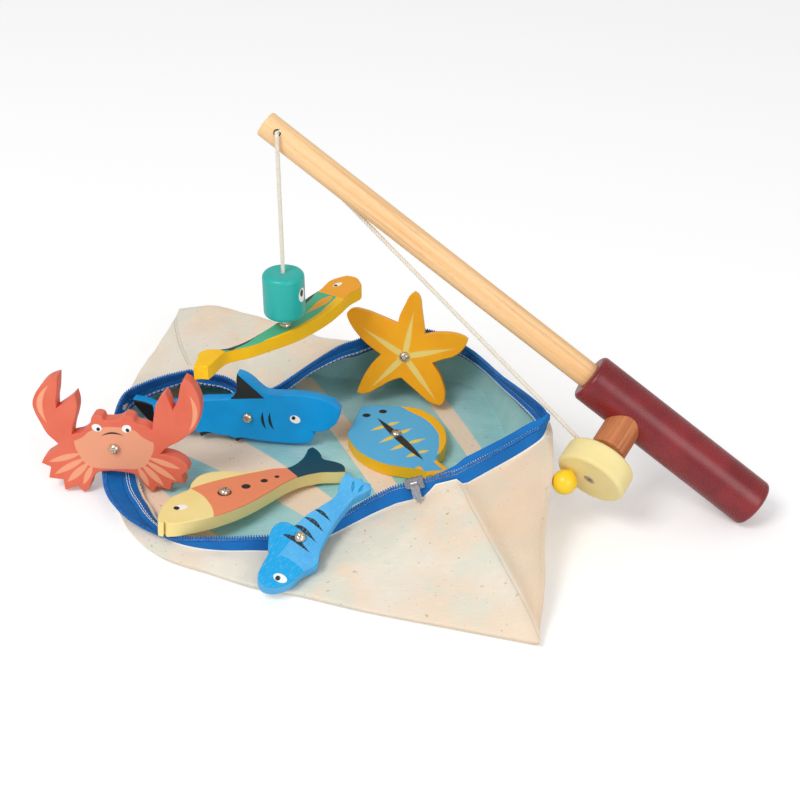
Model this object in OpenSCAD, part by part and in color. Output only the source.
// Magnetic fishing game: a wooden rod with a reel, a bob with a magnet on the line, seven wooden sea
// creatures with steel screws to catch, and the open zip pouch they are carried in.
// Origin: centre of the pouch's footprint, on the floor. +X right, +Y away from the viewer, +Z up. Millimetres.

/* [Rod] */
// Length of the rod from the butt to the tip
rod_len = 371; // [355:1:385]
// Length of the painted handle
handle_len = 128; // [122:1:136]
// Diameter of the painted handle
handle_d = 30.5; // [28:0.5:33]
// Radius of the rounded edges of the handle
handle_edge = 3; // [1:0.5:5]
// Diameter of the bare stick
stick_d = 16; // [14:0.5:18]
// Depth of the stick's seat in the handle
stick_seat = 20; // [14:1:21]
// Radius of the rounded edge at the tip of the stick
tip_edge = 1.5; // [0.5:0.5:3]
// Diameter of the line hole at the tip
tip_hole_d = 4.6; // [4:0.1:6]
// Distance of the line hole from the tip
tip_hole_back = 10; // [8:1:14]
// Slope of the rod above the floor, degrees
rod_rise = 33.8; // [33:0.1:34.5]
// Heading of the rod from its butt, seen from above, degrees
rod_heading = 162; // [161:0.5:163]

/* [Reel] */
// Distance of the reel from the top end of the handle
peg_back = 34; // [33:0.5:36]
// Turn of the reel about the rod, degrees
peg_turn = 59; // [55:1:63]
// Diameter of the peg that carries the reel
peg_d = 22; // [19:0.5:24]
// Depth of the peg's socket in the handle
peg_seat = 10; // [7:0.5:12]
// Distance of the peg's outer face from the rod's axis
peg_reach = 32; // [29:0.5:35]
// Diameter of the reel's hub
hub_d = 10; // [9:0.5:13]
// Width of the reel's hub
hub_w = 6.2; // [6.2:0.1:8]
// Diameter of the reel's disc
disc_d = 43; // [40:0.5:46]
// Thickness of the reel's disc
disc_w = 15.5; // [13:0.5:18]
// Radius of the rounded rims of the disc
disc_edge = 2.5; // [1:0.5:4]
// Diameter of the knob's ball
knob_d = 15; // [12:0.5:17]
// Distance of the knob from the reel's axis
knob_out = 12.2; // [11.5:0.1:13]
// Diameter of the knob's dowel
dowel_d = 5; // [4:0.5:6]
// Depth of the dowel in the disc
dowel_seat = 9; // [6:0.5:10]
// Diameter of the reel screw's head
axle_head_d = 7; // [6:0.5:8]
// Height of the reel screw's head
axle_head_h = 2; // [1.5:0.5:3]
// Diameter of the reel screw's shank
axle_d = 4.1; // [3.5:0.1:4.5]
// Depth of the reel screw in the peg
axle_seat = 14; // [10:0.5:18]

/* [Line and bob] */
// Diameter of the line
line_d = 2.8; // [2:0.1:3]
// Distance of the hanging line from the rod's axis, along the tip hole
line_out = 12; // [11:0.5:14]
// Height of the top of the bob above the floor
bob_top = 127; // [120:1:134]
// Height of the bob
bob_h = 29; // [27:0.5:32]
// Diameter of the bob
bob_d = 26; // [23:0.5:28]
// Radius of the rounded rims of the bob
bob_edge = 3; // [1:0.5:5]
// Diameter of the knot in the bob
knot_d = 6; // [5:0.5:7]
// Diameter of the magnet
magnet_d = 10; // [9:0.5:12]
// Height of the magnet
magnet_h = 8; // [7:0.5:9]
// Depth of the magnet's seat in the bob
magnet_seat = 3; // [2:0.5:4]

/* [Creatures] */
// Thickness of each wooden creature
wood_t = 9.5; // [9:0.5:10]
// Width of the broken edge round each creature
wood_edge = 0.8; // [0.4:0.1:1.2]
// Width of the crab over its claws
crab_w = 105; // [102:1:106]
// Length of the shark
shark_l = 136; // [132:1:138]
// Length of the salmon
salmon_l = 131; // [128:1:132]
// Length of the striped fish
striped_l = 91; // [89:1:92]
// Length of the flatfish
flatfish_l = 95; // [92:1:97]
// Width of the starfish over its arms
starfish_w = 80; // [77:1:81]
// Length of the mackerel
mackerel_l = 149; // [145:1:152]
// Diameter of a creature screw's head
head_d = 7; // [6:0.5:8]
// Height of a creature screw's head
head_h = 2.9; // [2:0.1:3.2]
// Diameter of a creature screw's shank
shank_d = 3; // [2.5:0.5:3.5]
// Length of a creature screw's shank
shank_l = 6.5; // [5:0.5:7.5]
// Width of the cross in a screw head
cross_w = 0.9; // [0.7:0.1:1.2]
// Depth of the cross in a screw head
cross_dp = 1; // [0.6:0.1:1.3]

/* [Pouch] */
// Thickness of the canvas
canvas_t = 1.2; // [1:0.1:1.3]
// Thickness of the printed lining
lining_t = 0.8; // [0.6:0.1:0.9]
// Thickness of the zip tape
tape_t = 0.8; // [0.6:0.1:1]
// Diameter of the zip's coil of teeth
coil_d = 2.6; // [2.2:0.1:2.8]
// Length of the zip slider
slider_l = 11; // [10:0.5:13]
// Width of the zip slider
slider_w = 8; // [7:0.5:9]
// Thickness of each plate of the slider
slider_t = 1.3; // [1:0.1:1.6]
// Length of the pull tab
pull_l = 10; // [9:0.5:12]
// Width of the pull tab
pull_w = 5; // [4.5:0.5:6]
// Thickness of the pull tab
pull_t = 1.2; // [1:0.1:1.6]
// Diameter of the bar that holds the pull
bar_d = 1.4; // [1.2:0.1:1.8]

/* [Clearances] */
// Radial play of a turning or glued round fit
fit = 0.05; // [0.02:0.01:0.1]
// Gap between pieces that rest on or move past each other
rest = 0.15; // [0.1:0.05:0.25]
// Gap between the canvas and the lining
ply_gap = 0.2; // [0.15:0.05:0.3]

/* [Hidden] */

function unit(v) = v / norm(v);

// Places on the rod: x along the rod from the butt, turned about the rod by roll
butt = [264, -50, (handle_d / 2 - handle_edge) * cos(rod_rise) + handle_edge - handle_edge * sin(rod_rise)];
function rolled(p, a) = [p.x, p.y * cos(a) - p.z * sin(a), p.y * sin(a) + p.z * cos(a)];
function pitched(p) = [p.x * cos(rod_rise) - p.z * sin(rod_rise), p.y, p.x * sin(rod_rise) + p.z * cos(rod_rise)];
function headed(p) = [p.x * cos(rod_heading) - p.y * sin(rod_heading),
                      p.x * sin(rod_heading) + p.y * cos(rod_heading), p.z];
function rod_dir(p, roll) = headed(pitched(rolled(p, roll)));
function rod_pt(p, roll) = butt + rod_dir(p, roll);
peg_at = handle_len - peg_back;
module on_rod(roll = 0) translate(butt) rotate([0, -rod_rise, rod_heading]) rotate([roll, 0, 0]) children();
// On the peg, z runs out of the handle and x towards the tip
module on_peg() on_rod(peg_turn) translate([peg_at, 0, 0]) rotate([180, 0, 0]) children();

// Places of the reel along the peg's axis
hub_z = peg_reach + 2 * rest;
disc_z = hub_z + hub_w;
face_z = disc_z + disc_w;
turns_z = hub_z + line_d / 2 + rest;
leave_z = disc_z - line_d / 2 - rest;
knob_turn = 35;
tip_roll = 120;

// Places of the line and the bob
hole_x = rod_len - tip_hole_back;
hang = rod_pt([hole_x, 0, -line_out], tip_roll);
hang_top = 205;
bob_z = bob_top - bob_h;
magnet_z = bob_z + magnet_seat - magnet_h;
catch_z = magnet_z - rest - head_h;
pocket_d = knot_d + 1.2;
pocket_h = knot_d + 1;

// Height of the lining's upper face on the floor
floor_z = canvas_t + ply_gap + lining_t;

// A rounded corner of a turned profile: centre, radius and the angles it spans
function corner(c, r, a0, a1, n = 3) = [for (i = [0:n]) c + r * [cos(a0 + (a1 - a0) * i / n), sin(a0 + (a1 - a0) * i / n)]];
module turned(profile, sides) rotate_extrude($fn = sides) polygon(profile);

// A cord or bead swept along points, with the reference direction across it
function ring_at(p, d, ref, r, sides) =
    let (s = unit(cross(d, ref)), c = cross(d, s))
    [for (k = [0:sides - 1]) p + r * (s * cos(360 * k / sides) + c * sin(360 * k / sides))];
module cord(pts, d, sides, ref) {
    n = len(pts);
    v = [for (i = [0:n - 1]) each
        ring_at(pts[i], unit(pts[min(i + 1, n - 1)] - pts[max(i - 1, 0)]), ref, d / 2, sides)];
    f = concat([[for (k = [0:sides - 1]) k]],
        [for (i = [0:n - 2], k = [0:sides - 1])
            [i * sides + k, (i + 1) * sides + k, (i + 1) * sides + (k + 1) % sides, i * sides + (k + 1) % sides]],
        [[for (k = [sides - 1:-1:0]) (n - 1) * sides + k]]);
    polyhedron(v, f, convexity = 6);
}
module cord_loop(pts, d, sides, ref) {
    n = len(pts);
    v = [for (i = [0:n - 1]) each
        ring_at(pts[i], unit(pts[(i + 1) % n] - pts[(i + n - 1) % n]), ref, d / 2, sides)];
    f = [for (i = [0:n - 1], k = [0:sides - 1])
            [i * sides + k, ((i + 1) % n) * sides + k,
             ((i + 1) % n) * sides + (k + 1) % sides, i * sides + (k + 1) % sides]];
    polyhedron(v, f, convexity = 6);
}
// A soft bend from a to b round the corner k, and a straight run of steps between two points
function soft(a, k, b, n) = [for (i = [0:n]) let (t = i / n) (1 - t) * (1 - t) * a + 2 * t * (1 - t) * k + t * t * b];
function run(a, b, n) = [for (i = [0:n]) a + (b - a) * i / n];

// An outline with a softened middle point on every long side
function mid4(a, b, c, d) = (b + c) / 2 + (b + c - a - d) / 16;
function eased(p, far) = let (n = len(p))
    [for (i = [0:n - 1]) each norm(p[(i + 1) % n] - p[i]) > far
        ? [p[i], mid4(p[(i + n - 1) % n], p[i], p[(i + 1) % n], p[(i + 2) % n])] : [p[i]]];
function area(p) = let (n = len(p)) [for (i = 0, s = 0; i <= n; s = s + (i < n ? cross(p[i], p[(i + 1) % n]) : 0), i = i + 1) s][n];
function anticlockwise(p) = area(p) > 0 ? p : [for (i = [len(p) - 1:-1:0]) p[i]];
function inset(p, e) = let (n = len(p))
    [for (i = [0:n - 1])
        let (a = unit(p[i] - p[(i + n - 1) % n]), b = unit(p[(i + 1) % n] - p[i]),
             m = [-a.y - b.y, a.x + b.x], k = norm(m))
        p[i] + e * (k < 1 ? m / k * 2 : m * 2 / (k * k))];
// An anticlockwise outline cut into triangles, one ear at a time
function turn3(a, b, c) = cross(b - a, c - a);
function holds(p, a, b, c) = turn3(a, b, p) >= 0 && turn3(b, c, p) >= 0 && turn3(c, a, p) >= 0;
function is_ear(p, ids, k) = let (n = len(ids), a = ids[(k + n - 1) % n], b = ids[k], c = ids[(k + 1) % n])
    turn3(p[a], p[b], p[c]) > 0
    && len([for (j = ids) if (j != a && j != b && j != c && holds(p[j], p[a], p[b], p[c])) j]) == 0;
function first_ear(p, ids, k = 0) = is_ear(p, ids, k) || k + 1 == len(ids) ? k : first_ear(p, ids, k + 1);
function ears(p, ids, out = []) = let (n = len(ids))
    n == 3 ? concat(out, [ids]) : let (k = first_ear(p, ids))
    ears(p, [for (j = [0:n - 1]) if (j != k) ids[j]], concat(out, [[ids[(k + n - 1) % n], ids[k], ids[(k + 1) % n]]]));
// A flat wooden board with broken edges; its face is at z = 0 and its back below
module board(outline, t, e) {
    n = len(outline);
    in = inset(outline, e);
    v = concat([for (q = in) [q.x, q.y, -t]], [for (q = outline) [q.x, q.y, -t + e]],
               [for (q = outline) [q.x, q.y, -e]], [for (q = in) [q.x, q.y, 0]]);
    cap = ears(in, [for (i = [0:n - 1]) i]);
    f = concat(cap, [for (q = cap) [3 * n + q[2], 3 * n + q[1], 3 * n + q[0]]],
        [for (r = [0:2], i = [0:n - 1])
            [r * n + i, (r + 1) * n + i, (r + 1) * n + (i + 1) % n, r * n + (i + 1) % n]]);
    polyhedron(v, f, convexity = 8);
}
module pilot() translate([0, 0, -shank_l - 0.5]) cylinder(d = shank_d + 2 * fit, h = shank_l + 2, $fn = 16);
module creature(outline, far = 9) difference() {
    board(eased(anticlockwise(outline), far), wood_t, wood_edge);
    pilot();
}
// A steel screw with a domed cross head on the face z = 0
module dome_screw() difference() {
    turned([[0, -shank_l], [shank_d / 2, -shank_l + 0.8], [shank_d / 2, rest / 3], [head_d / 2, rest / 3],
            [head_d / 2, head_h * 0.3], [head_d * 0.4, head_h * 0.72], [head_d * 0.22, head_h * 0.95],
            [0, head_h]], 16);
    for (a = [0, 90]) rotate([0, 0, a])
        translate([-head_d * 0.27, -cross_w / 2, head_h - cross_dp]) cube([head_d * 0.54, cross_w, cross_dp + 1]);
}
// A creature stands facing the viewer at lift 0 and lies flat at lift 90
module posed(at, facing, lift, roll)
    translate(at) rotate([0, 0, facing]) rotate([90 - lift, 0, 0]) rotate([0, 0, roll]) children();

module rod_stick() color("burlywood") on_rod() difference() {
    rotate([0, 90, 0]) translate([0, 0, handle_len - stick_seat])
        turned(concat([[0, 0], [stick_d / 2, 0]],
            corner([stick_d / 2 - tip_edge, rod_len - handle_len + stick_seat - tip_edge], tip_edge, 0, 90, 2),
            [[0, rod_len - handle_len + stick_seat]]), 32);
    rotate([tip_roll, 0, 0]) translate([hole_x, 0, 0])
        cylinder(d = tip_hole_d, h = stick_d + 4, center = true, $fn = 20);
}
module rod_handle() color("firebrick") difference() {
    on_rod() rotate([0, 90, 0])
        turned(concat([[0, 0]], corner([handle_d / 2 - handle_edge, handle_edge], handle_edge, -90, 0),
            corner([handle_d / 2 - handle_edge, handle_len - handle_edge], handle_edge, 0, 90),
            [[0, handle_len]]), 32);
    on_rod() translate([handle_len - stick_seat - rest, 0, 0]) rotate([0, 90, 0])
        cylinder(d = stick_d + 2 * fit, h = stick_seat + 5, $fn = 32);
    on_peg() translate([0, 0, handle_d / 2 - peg_seat - rest]) cylinder(d = peg_d + 2 * fit, h = peg_seat + 20, $fn = 32);
}
module reel_peg() color("sienna") on_peg() difference() {
    translate([0, 0, handle_d / 2 - peg_seat]) cylinder(d = peg_d, h = peg_reach - handle_d / 2 + peg_seat, $fn = 32);
    translate([0, 0, peg_reach - axle_seat - 1]) cylinder(d = axle_d + 2 * fit, h = axle_seat + 3, $fn = 20);
}
module reel_screw() color("silver") on_peg() difference() {
    turned([[0, peg_reach - axle_seat], [axle_d / 2, peg_reach - axle_seat + 1], [axle_d / 2, face_z - axle_head_h],
            [axle_head_d / 2, face_z - axle_head_h], [axle_head_d / 2, face_z - axle_head_h * 0.3],
            [axle_head_d * 0.3, face_z], [0, face_z]], 20);
    for (a = [0, 90]) rotate([0, 0, a])
        translate([-axle_head_d * 0.3, -cross_w / 2, face_z - cross_dp]) cube([axle_head_d * 0.6, cross_w, cross_dp + 1]);
}
module reel_disc() color("wheat") on_peg() difference() {
    turned(concat([[axle_d / 2 + fit, hub_z], [hub_d / 2, hub_z], [hub_d / 2, disc_z]],
        corner([disc_d / 2 - disc_edge, disc_z + disc_edge], disc_edge, -90, 0),
        corner([disc_d / 2 - disc_edge, face_z - disc_edge], disc_edge, 0, 90),
        [[axle_head_d / 2 + 2 * fit, face_z], [axle_head_d / 2 + 2 * fit, face_z - axle_head_h - rest],
         [axle_d / 2 + fit, face_z - axle_head_h - rest]]), 36);
    rotate([0, 0, knob_turn]) translate([knob_out, 0, face_z - dowel_seat - rest])
        cylinder(d = dowel_d + 2 * fit, h = dowel_seat + 5, $fn = 20);
}
module reel_knob() color("gold") on_peg() rotate([0, 0, knob_turn]) translate([knob_out, 0, face_z - dowel_seat])
    turned(concat([[0, 0], [dowel_d / 2, 0]],
        corner([0, dowel_seat + rest + knob_d / 2], knob_d / 2, asin(dowel_d / knob_d) - 90, 90, 9)), 20);
module line_turns() color("ivory") on_peg()
    cord_loop([for (i = [0:17]) let (r = hub_d / 2 + line_d / 2 + fit)
        [r * cos(20 * i), r * sin(20 * i), turns_z]], line_d, 8, [0, 0, 1]);

// The line leaves the far side of the hub, passes through the tip hole and hangs in front of the tip
reel_out = rod_dir([0, 0, -1], peg_turn);
hub_c = rod_pt([peg_at, 0, -leave_z], peg_turn);
hole_back = rod_pt([hole_x, 0, stick_d / 2 + 4], tip_roll);
hole_dir = rod_dir([0, 0, -1], tip_roll);
to_hole = hole_back - hub_c;
line_r = hub_d / 2 + line_d / 2 + fit;
hub_e = unit(to_hole - (to_hole * reel_out) * reel_out);
line_start = hub_c + line_r * cross(reel_out, hub_e);
taut_dir = unit(hole_back - line_start);
module line_taut() color("ivory") cord(concat(
    run(line_start, hole_back - 8 * taut_dir, 32),
    soft(hole_back - 4 * taut_dir, hole_back, hole_back + 4 * hole_dir, 5),
    run(rod_pt([hole_x, 0, 1], tip_roll), rod_pt([hole_x, 0, -stick_d / 2 + 1], tip_roll), 1),
    soft(hang - 4 * hole_dir, hang, hang - [0, 0, 4], 5),
    [[hang.x, hang.y, hang_top]]), line_d, 8, [1, 0, 0]);
module line_hanging() color("ivory")
    cord(run([hang.x, hang.y, hang_top], [hang.x, hang.y, bob_top + rest], 11), line_d, 8, [1, 0, 0]);
module line_knot() color("ivory") translate([hang.x, hang.y, bob_z]) {
    turned(concat([[0, magnet_seat + 0.5], [knot_d * 0.35, magnet_seat + 0.5]],
        corner([0, magnet_seat + 0.5 + knot_d / 2], knot_d / 2, -35, 55, 4),
        [[line_d / 2, magnet_seat + knot_d], [line_d / 2, bob_h], [0, bob_h]]), 12);
}
module bob() color("lightseagreen") translate([hang.x, hang.y, bob_z])
    turned(concat([[magnet_d / 2 + fit, 0]],
        corner([bob_d / 2 - bob_edge, bob_edge], bob_edge, -90, 0),
        corner([bob_d / 2 - bob_edge, bob_h - bob_edge], bob_edge, 0, 90),
        [[line_d / 2 + 4 * fit, bob_h], [line_d / 2 + 4 * fit, magnet_seat + pocket_h],
         [pocket_d / 2, magnet_seat + pocket_h], [pocket_d / 2, magnet_seat], [magnet_d / 2 + fit, magnet_seat]]), 32);
module bob_magnet() color("silver") translate([hang.x, hang.y, magnet_z])
    turned([[0, 0], [magnet_d / 2 - 0.5, 0], [magnet_d / 2, 0.5], [magnet_d / 2, magnet_h], [0, magnet_h]], 24);

// Outlines round the screw, drawn at the sizes given above, anticlockwise
crab_k = crab_w / 105;
crab_pts = crab_k * [[-28, 50], [-35, 47.5], [-41, 42], [-45, 36.5], [-47, 31], [-46.5, 26], [-44, 18], [-41, 10.5],
    [-34, 2], [-35.5, 1], [-45, -5], [-48, -9.5], [-42.5, -12.5], [-45, -20], [-36, -21.5], [-36, -29],
    [-27.5, -26], [-24, -30.5], [-20.5, -28], [-13.5, -17], [1.5, -16.5], [11.5, -19.5], [17, -29], [20, -31],
    [23, -27], [31, -30], [33, -24.5], [41, -25], [39.5, -19.5], [44.5, -16], [43.5, -12.5], [39, -8],
    [32, -5], [28, -4.5], [33, 0], [40, 3.5], [51.5, 12], [55.5, 20], [57, 29.5], [55, 39], [52, 44],
    [49, 46], [46.5, 42], [43, 31], [39.5, 25.5], [37.5, 34], [36.5, 37], [33.5, 34.5], [29.5, 29],
    [26, 16.5], [25, 12], [21, 15], [15.5, 17], [14, 20.5], [9.5, 22.5], [6, 20], [1.5, 19], [-4, 19],
    [-5, 22], [-8, 23], [-11, 22], [-13, 17.5], [-18, 12], [-25.5, 10], [-21, 22.5], [-19, 30],
    [-19.5, 37.5], [-24, 33.5], [-32.5, 28], [-30, 39.5]];
shark_k = shark_l / 136;
shark_pts = shark_k * [[61, 2], [57.5, 7], [46, 12], [32.5, 14.5], [14.5, 16.5], [6, 25], [-3, 30.5], [-4.5, 21.5],
    [-9.5, 14], [-27, 13.5], [-45, 12], [-60, 10.5], [-67.5, 13.5], [-75, 15.5], [-71, 7], [-66.5, -1.5],
    [-70.5, -10.5], [-61.5, -5], [-45.5, -7], [-35, -9], [-33, -12.5], [-28, -10.5], [-12, -14], [-9.5, -17],
    [-5, -15], [3.5, -16.5], [19, -19], [33, -20], [39.5, -18.5], [42.5, -13.5], [41, -12], [50, -11.5], [58, -6]];
salmon_k = salmon_l / 131;
salmon_pts = salmon_k * [[-47.5, -3.5], [-41.5, 3.5], [-30.5, 11.5], [-16, 14.5], [-12, 19], [-4.5, 24], [3, 25],
    [13, 21.5], [23, 14.5], [37, 10.5], [49, 5.5], [56, 6.5], [65, 11], [73.5, 18], [77, 18.5], [77.5, 14],
    [76.5, 8.5], [74.5, 3], [79.5, -4.5], [81, -10], [78, -16], [65.5, -9.5], [54, -7], [46, -7], [34, -9.5],
    [15, -15], [-1.5, -18], [-19, -18.5], [-34, -16.5], [-41.5, -14.5], [-46.5, -12], [-43, -5], [-48, -11],
    [-50, -8.5]];
striped_k = striped_l / 91;
striped_pts = striped_k * [[-33.5, 4], [-29.5, 5.5], [-21, 7.5], [-17, 8.5], [-14, 12], [-6, 16], [-0.5, 16],
    [3, 13], [4.5, 7.5], [14, 6.5], [26, 3], [35.5, 1], [42.5, 4], [48.5, 5.5], [52.5, 4.5], [51.5, 0],
    [54, -3.5], [53, -6.5], [54.5, -10], [52, -12.5], [41, -8.5], [35, -8.5], [25, -9], [14, -10.5],
    [5.5, -12.5], [-1.5, -15], [-7, -18], [-16, -14.5], [-24.5, -13.5], [-31.5, -10], [-36, -4.5], [-36.5, -0.5]];
flatfish_k = flatfish_l / 95;
flatfish_pts = flatfish_k * [[-24, -19.5], [-35.5, -8], [-41.5, -0.5], [-38, 7], [-33, 13], [-23.5, 25.5], [-16, 30],
    [-4.5, 32.5], [9, 31], [20, 26], [28, 19.5], [33.5, 12], [36, 8.5], [40, 7], [53.5, 7.5], [52, 0.5],
    [49, -7.5], [45.5, -5], [38, -10], [27, -20.5], [17.5, -26], [4, -29.5], [-9, -28.5], [-17.5, -26]];
mackerel_k = mackerel_l / 149;
mackerel_pts = mackerel_k * [[-72, 2.5], [-68.5, 0], [-66, -3.5], [-57, -0.5], [-46, 2.5], [-33, -2], [-19, -5],
    [5.5, -8.5], [33, -6], [59, 1.5], [70, 3], [76.5, 14], [74.5, 20.5], [61.5, 23.5], [49.5, 19.5],
    [33, 16.5], [14, 10], [-4, 6], [-29, 3], [-45, 5.5], [-52.5, 12.5], [-60, 12.5], [-63.5, 9]];
starfish_k = starfish_w / 80;
// Each arm of the starfish: its direction and its reach
arms = [[13, 43.5], [80.5, 43], [141.5, 48], [219.5, 40.5], [306, 42]];
function polar(r, a) = starfish_k * r * [cos(a), sin(a)];
starfish_pts = [for (i = [0:4]) let (a = arms[i][0], r = arms[i][1], b = arms[(i + 1) % 5][0] + (i == 4 ? 360 : 0))
    each [polar(22, a - 18), polar(r * 0.72, a - 10), polar(r - 2.5, a - 5.5), polar(r, a - 1.5), polar(r, a + 1.5),
          polar(r - 2.5, a + 5.5), polar(r * 0.72, a + 10), polar(22, a + 18), polar(15.5, (a + b) / 2)]];

// Where each creature lies: the point of its screw on the face, then facing, lift and roll
crab_at = [-59 - 66 * crab_k, -20.5, 0.3 + 32.4 * crab_k];
shark_at = [-48.5, 31.9, floor_z + 0.8 + 18.7 * shark_k];
salmon_at = [-55.5, -49.5, 20.3];
striped_at = [-7, -100.7, 25.2];
flatfish_at = [47.5, 27, floor_z + rest + wood_t];
starfish_at = [53, 82.6, 1.2 + 36.5 * starfish_k];
mackerel_at = [hang.x, hang.y, catch_z];
module crab_pose() posed(crab_at, -5, 6, 4) children();
module shark_pose() posed(shark_at, -7, 8, 6.4) children();
module salmon_pose() posed(salmon_at, 129, 84.3, -91.7) children();
module striped_pose() posed(striped_at, 14, 65, 41.5) children();
module flatfish_pose() posed(flatfish_at, 0, 90, -58.6) children();
module starfish_pose() posed(starfish_at, -6, 23, 0) children();
module mackerel_pose() posed(mackerel_at, 0, 90, 46.4) children();

module crab() color("coral") crab_pose() creature(crab_pts, 11);
module shark() color("deepskyblue") shark_pose() creature(shark_pts);
module salmon() color("sandybrown") salmon_pose() creature(salmon_pts);
module striped_fish() color("dodgerblue") striped_pose() creature(striped_pts);
module flatfish() color("lightblue") flatfish_pose() creature(flatfish_pts);
module starfish() color("orange") starfish_pose() creature(starfish_pts, 30);
module mackerel() color("khaki") mackerel_pose() creature(mackerel_pts);
module crab_screw() color("silver") crab_pose() dome_screw();
module shark_screw() color("silver") shark_pose() dome_screw();
module salmon_screw() color("silver") salmon_pose() dome_screw();
module striped_screw() color("silver") striped_pose() dome_screw();
module flatfish_screw() color("silver") flatfish_pose() dome_screw();
module starfish_screw() color("silver") starfish_pose() dome_screw();
module mackerel_screw() color("silver") mackerel_pose() dome_screw();

// Stations round the mouth of the pouch, from its left end along the front, the right end and the back.
// Each has the teeth edge of the tape, the sewn edge of the canvas, the outer fold, the floor line, the
// bulge of the cloth and 1 where the cloth runs on smoothly to the next station.
stations = [
    [[-139, 12, 16.2], [-129, 11, 11], [-134, 11, 6], [-131, 11, 0], 0, 1],
    [[-133, -28, 12.2], [-121, -27, 8], [-127, -28, 5], [-124, -28, 0], 0, 1],
    [[-122, -52, 12.5], [-112, -47, 8], [-118, -54, 5], [-115, -53, 0], 0, 1],
    [[-107, -70, 13], [-101, -66, 8.5], [-106, -75, 5], [-104, -72, 0], 0, 1],
    [[-86, -84, 14], [-85, -82, 9], [-88, -93, 5], [-86, -90, 0], 0, 1],
    [[-63, -89, 17], [-62, -91, 9.5], [-63, -105, 5], [-62, -102, 0], 0, 1],
    [[-36, -92, 20], [-36, -94, 11], [-36, -118, 5], [-35, -115, 0], 0, 1],
    [[-8, -86, 19.5], [-8, -90, 10], [-8, -126, 5], [-8, -123, 0], 0, 1],
    [[21, -71, 24.3], [22, -75, 16], [28, -139, 5], [28, -136, 0], 2, 1],
    [[46, -56, 30], [48, -60, 20], [63, -150, 5], [63, -146, 0], 4, 0],
    [[83, -54, 40], [84, -60, 31], [126, -168, 5], [123, -164, 0], 2, 0],
    [[109, -45, 50], [110, -48, 40], [132, -125, 20], [128, -122, 0], 2, 1],
    [[127, -40, 59], [128, -42, 49], [137, -76, 39], [132, -74, 0], 1, 1],
    [[138, -37, 66], [137, -36, 56], [142, -34, 52], [136, -32, 0], 0, 1],
    [[129, -15, 66], [132, -13, 56], [139, 0, 44], [133, 0, 0], 1, 1],
    [[113, 28, 56], [117, 33, 47], [127, 42, 33], [121, 40, 0], 1, 1],
    [[98, 92, 37], [102, 97, 28], [110, 101, 20], [106, 98, 0], 1, 1],
    [[72, 102, 46.5], [75, 107, 38], [80, 117, 27], [76, 113, 0], 0, 1],
    [[42, 105, 46], [42, 110, 37], [44, 122, 27], [41, 117, 0], 0, 1],
    [[21, 92, 45], [20, 98, 36], [20, 120, 29], [18, 114, 0], 0, 1],
    [[9, 83, 45], [8, 90, 36], [6, 122, 30], [5, 115, 0], 0, 1],
    [[-8, 66, 42], [-11, 75, 33], [-8, 128, 30], [-8, 120, 0], -1, 1],
    [[-26, 48, 38], [-28, 57, 29], [-28, 141, 30], [-28, 132, 0], -3, 1],
    [[-36, 43, 35], [-38, 52, 27], [-46, 149, 30], [-44, 138, 0], -3, 1],
    [[-46, 44, 32], [-48, 53, 24], [-60, 156, 30], [-56, 143, 0], -3, 1],
    [[-56, 49, 36], [-58, 58, 28], [-74, 163, 30], [-68, 149, 0], -3, 1],
    [[-65, 56, 38], [-68, 65, 29], [-90, 169, 30], [-82, 154, 0], -3, 0],
    [[-89, 66, 37], [-92, 74, 28], [-110, 168, 30], [-100, 152, 0], -2, 0],
    [[-105, 63, 34.5], [-108, 69, 25], [-118, 120, 26], [-111, 116, 0], -1, 1],
    [[-128, 50, 31], [-130, 53, 21.5], [-132, 64, 21], [-126, 62, 0], 0, 1],
    [[-134, 32, 25], [-132, 31, 16], [-137, 34, 14], [-131, 33, 0], 0, 1]];
function column(k) = let (n = len(stations))
    [for (i = [0:n - 1]) let (a = stations[(i + n - 1) % n][k], b = stations[i][k],
        c = stations[(i + 1) % n][k], d = stations[(i + 2) % n][k])
        each stations[i][5] == 1 ? [b, mid4(a, b, c, d)] : [b]];
teeth = column(0);
sewn = column(1);
fold = column(2);
ground = [for (p = column(3)) [p.x, p.y, 0]];
bulge = column(4);
N = len(teeth);
function nx(i) = (i + 1) % N;
function pv(i) = (i + N - 1) % N;
// Inward normals of the upper sheet at a share s of the way to the fold, and of the wall below the fold
function upper(s) = [for (i = [0:N - 1]) sewn[i] + (fold[i] - sewn[i]) * s + [0, 0, bulge[i] * sin(180 * s)]];
function upper_n(r) = [for (i = [0:N - 1]) unit(cross(r[nx(i)] - r[pv(i)], fold[i] - sewn[i]))];
function wall_n() = [for (i = [0:N - 1]) unit(cross(fold[nx(i)] - fold[pv(i)], ground[i] - fold[i]))];
// The move that puts a corner at the depth t inside both of its faces
function mitre(a, b, along, t) = let (c = cross(b, along)) t * (c + cross(along, a)) / (a * c);
function skin(t) =
    let (u1 = upper(0.5), n0 = upper_n(sewn), n1 = upper_n(u1), n2 = upper_n(fold), w = wall_n())
    concat([for (i = [0:N - 1]) sewn[i] + t * n0[i]], [for (i = [0:N - 1]) u1[i] + t * n1[i]],
        [for (i = [0:N - 1]) fold[i] + mitre(n2[i], w[i], unit(fold[nx(i)] - fold[pv(i)]), t)],
        [for (i = [0:N - 1]) ground[i] + mitre(w[i], [0, 0, 1], unit(ground[nx(i)] - ground[pv(i)]), t)],
        [[0, 0, t]]);
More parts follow.
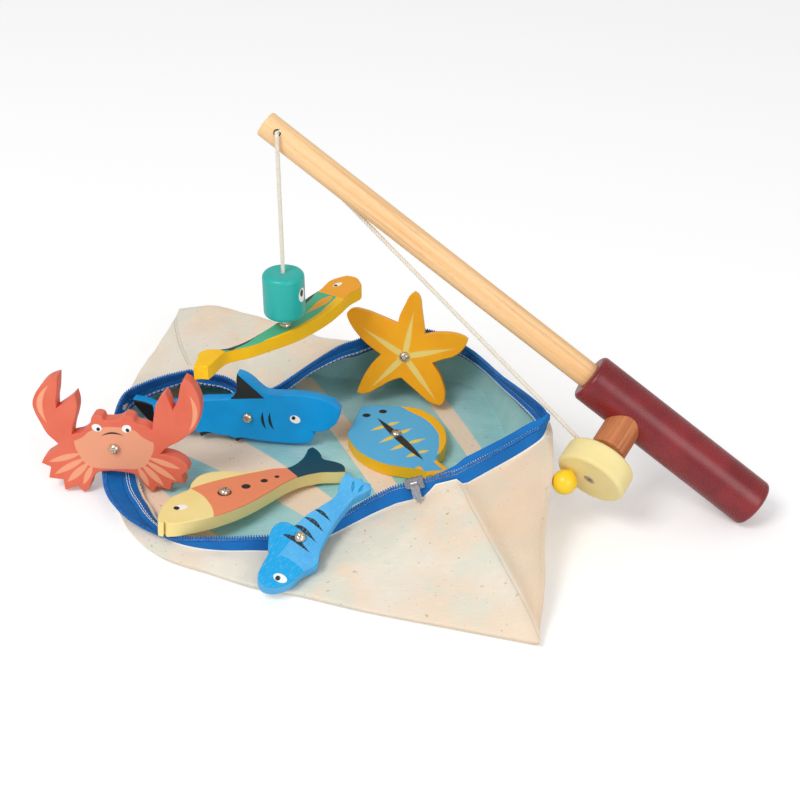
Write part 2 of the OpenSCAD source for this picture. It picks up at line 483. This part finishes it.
// A sheet of cloth between the depths t0 and t1 of the pouch's outer surface
module ply(t0, t1) {
    rows = 4;
    m = rows * N + 1;
    f = concat(
        [for (r = [0:rows - 2], i = [0:N - 1]) each
            [[r * N + i, r * N + nx(i), (r + 1) * N + nx(i)], [r * N + i, (r + 1) * N + nx(i), (r + 1) * N + i]]],
        [for (i = [0:N - 1]) [(rows - 1) * N + i, (rows - 1) * N + nx(i), m - 1]]);
    back = [for (q = f) [q[2] + m, q[1] + m, q[0] + m]];
    rim = [for (i = [0:N - 1]) each [[i, m + i, m + nx(i)], [i, m + nx(i), nx(i)]]];
    polyhedron(concat(skin(t0), skin(t1)), concat(f, back, rim), convexity = 10);
}
module pouch_canvas() color("antiquewhite") ply(0, canvas_t);
module pouch_lining() color("paleturquoise") ply(canvas_t + ply_gap, floor_z);

// The tape stands on the sewn edge of the canvas; the coil of teeth runs along its free edge
tape_up = [for (i = [0:N - 1]) unit(teeth[i] - sewn[i])];
tape_n = [for (i = [0:N - 1]) unit(cross(teeth[nx(i)] - teeth[pv(i)], sewn[i] - teeth[i]))];
module zip_tape() color("royalblue") {
    v = [for (i = [0:N - 1]) let (low = sewn[i] + rest * tape_up[i], top = teeth[i] - (coil_d + 2 * rest) * tape_up[i],
        n = tape_t / 2 * tape_n[i]) each [low, low + 2 * n, top + n, top - n]];
    polyhedron(v, [for (i = [0:N - 1], k = [0:3]) each
        [[4 * i + k, 4 * nx(i) + k, 4 * nx(i) + (k + 1) % 4], [4 * i + k, 4 * nx(i) + (k + 1) % 4, 4 * i + (k + 1) % 4]]],
        convexity = 10);
}
module zip_coil() color("mediumblue")
    cord_loop([for (i = [0:N - 1]) teeth[i] - coil_d / 2 * tape_up[i]], coil_d, 6, [0, 0, 1]);

// The slider rides the coil on the front, between the tenth and eleventh stations: x along the teeth, z up the tape
slider_x = unit(teeth[19] - teeth[18]);
slider_y = unit(cross(tape_up[18] + tape_up[19], slider_x));
slider_z = cross(slider_x, slider_y);
slider_c = teeth[18] + (teeth[19] - teeth[18]) / 3 - coil_d / 2 * slider_z;
module on_zip() multmatrix([[slider_x.x, slider_y.x, slider_z.x, slider_c.x],
    [slider_x.y, slider_y.y, slider_z.y, slider_c.y], [slider_x.z, slider_y.z, slider_z.z, slider_c.z]]) children();
plate_y = coil_d / 2 + 2 * rest;
roof_z = coil_d / 2 + 2 * rest;
eye_d = bar_d + 2 * fit + 1.4;
eye_w = pull_w - 1;
bar_y = plate_y + slider_t + eye_d / 2 + rest;
module zip_slider() color("silver") on_zip() {
    for (s = [-1, 1]) translate([0, s * (plate_y + slider_t / 2), 0]) rotate([90, 0, 0])
        linear_extrude(slider_t, center = true)
            polygon([[-slider_l / 2, -slider_w * 0.25], [-slider_l * 0.1, -slider_w / 2], [slider_l / 2, -slider_w / 2],
                     [slider_l / 2, roof_z + slider_t], [-slider_l / 2, roof_z + slider_t]]);
    translate([-slider_l / 2, -plate_y - slider_t / 2, roof_z]) cube([slider_l, 2 * plate_y + slider_t, slider_t]);
    for (s = [-1, 1]) translate([s * (eye_w / 2 + rest + bar_d / 2) - bar_d / 2, -bar_y - bar_d / 2, -bar_d / 2])
        cube([bar_d, bar_y - plate_y - slider_t / 2 + bar_d / 2, bar_d]);
    translate([0, -bar_y, 0]) rotate([0, 90, 0]) cylinder(d = bar_d, h = eye_w + 2 * rest + bar_d, center = true, $fn = 16);
}
// The pull tab hangs from the bar beside the tape
pull_lean = 8;
module zip_pull() color("silver") on_zip() translate([0, -bar_y, 0]) rotate([-pull_lean, 0, 0]) difference() {
    union() {
        rotate([0, 90, 0]) cylinder(d = eye_d, h = eye_w, center = true, $fn = 20);
        rotate([90, 0, 0]) linear_extrude(pull_t, center = true)
            polygon([[-eye_w / 2, 0], [-pull_w / 2, -eye_d], [-pull_w / 2, -pull_l + 1.5], [-pull_w / 2 + 1.5, -pull_l],
                     [pull_w / 2 - 1.5, -pull_l], [pull_w / 2, -pull_l + 1.5], [pull_w / 2, -eye_d], [eye_w / 2, 0]]);
    }
    rotate([0, 90, 0]) cylinder(d = bar_d + 2 * fit, h = pull_w + 2, center = true, $fn = 20);
}

rod_stick();
rod_handle();
reel_peg();
reel_screw();
reel_disc();
reel_knob();
line_turns();
line_taut();
line_hanging();
bob();
bob_magnet();
line_knot();
mackerel();
mackerel_screw();
crab();
shark();
salmon();
striped_fish();
flatfish();
starfish();
crab_screw();
shark_screw();
salmon_screw();
striped_screw();
flatfish_screw();
starfish_screw();
pouch_canvas();
pouch_lining();
zip_tape();
zip_coil();
zip_slider();
zip_pull();
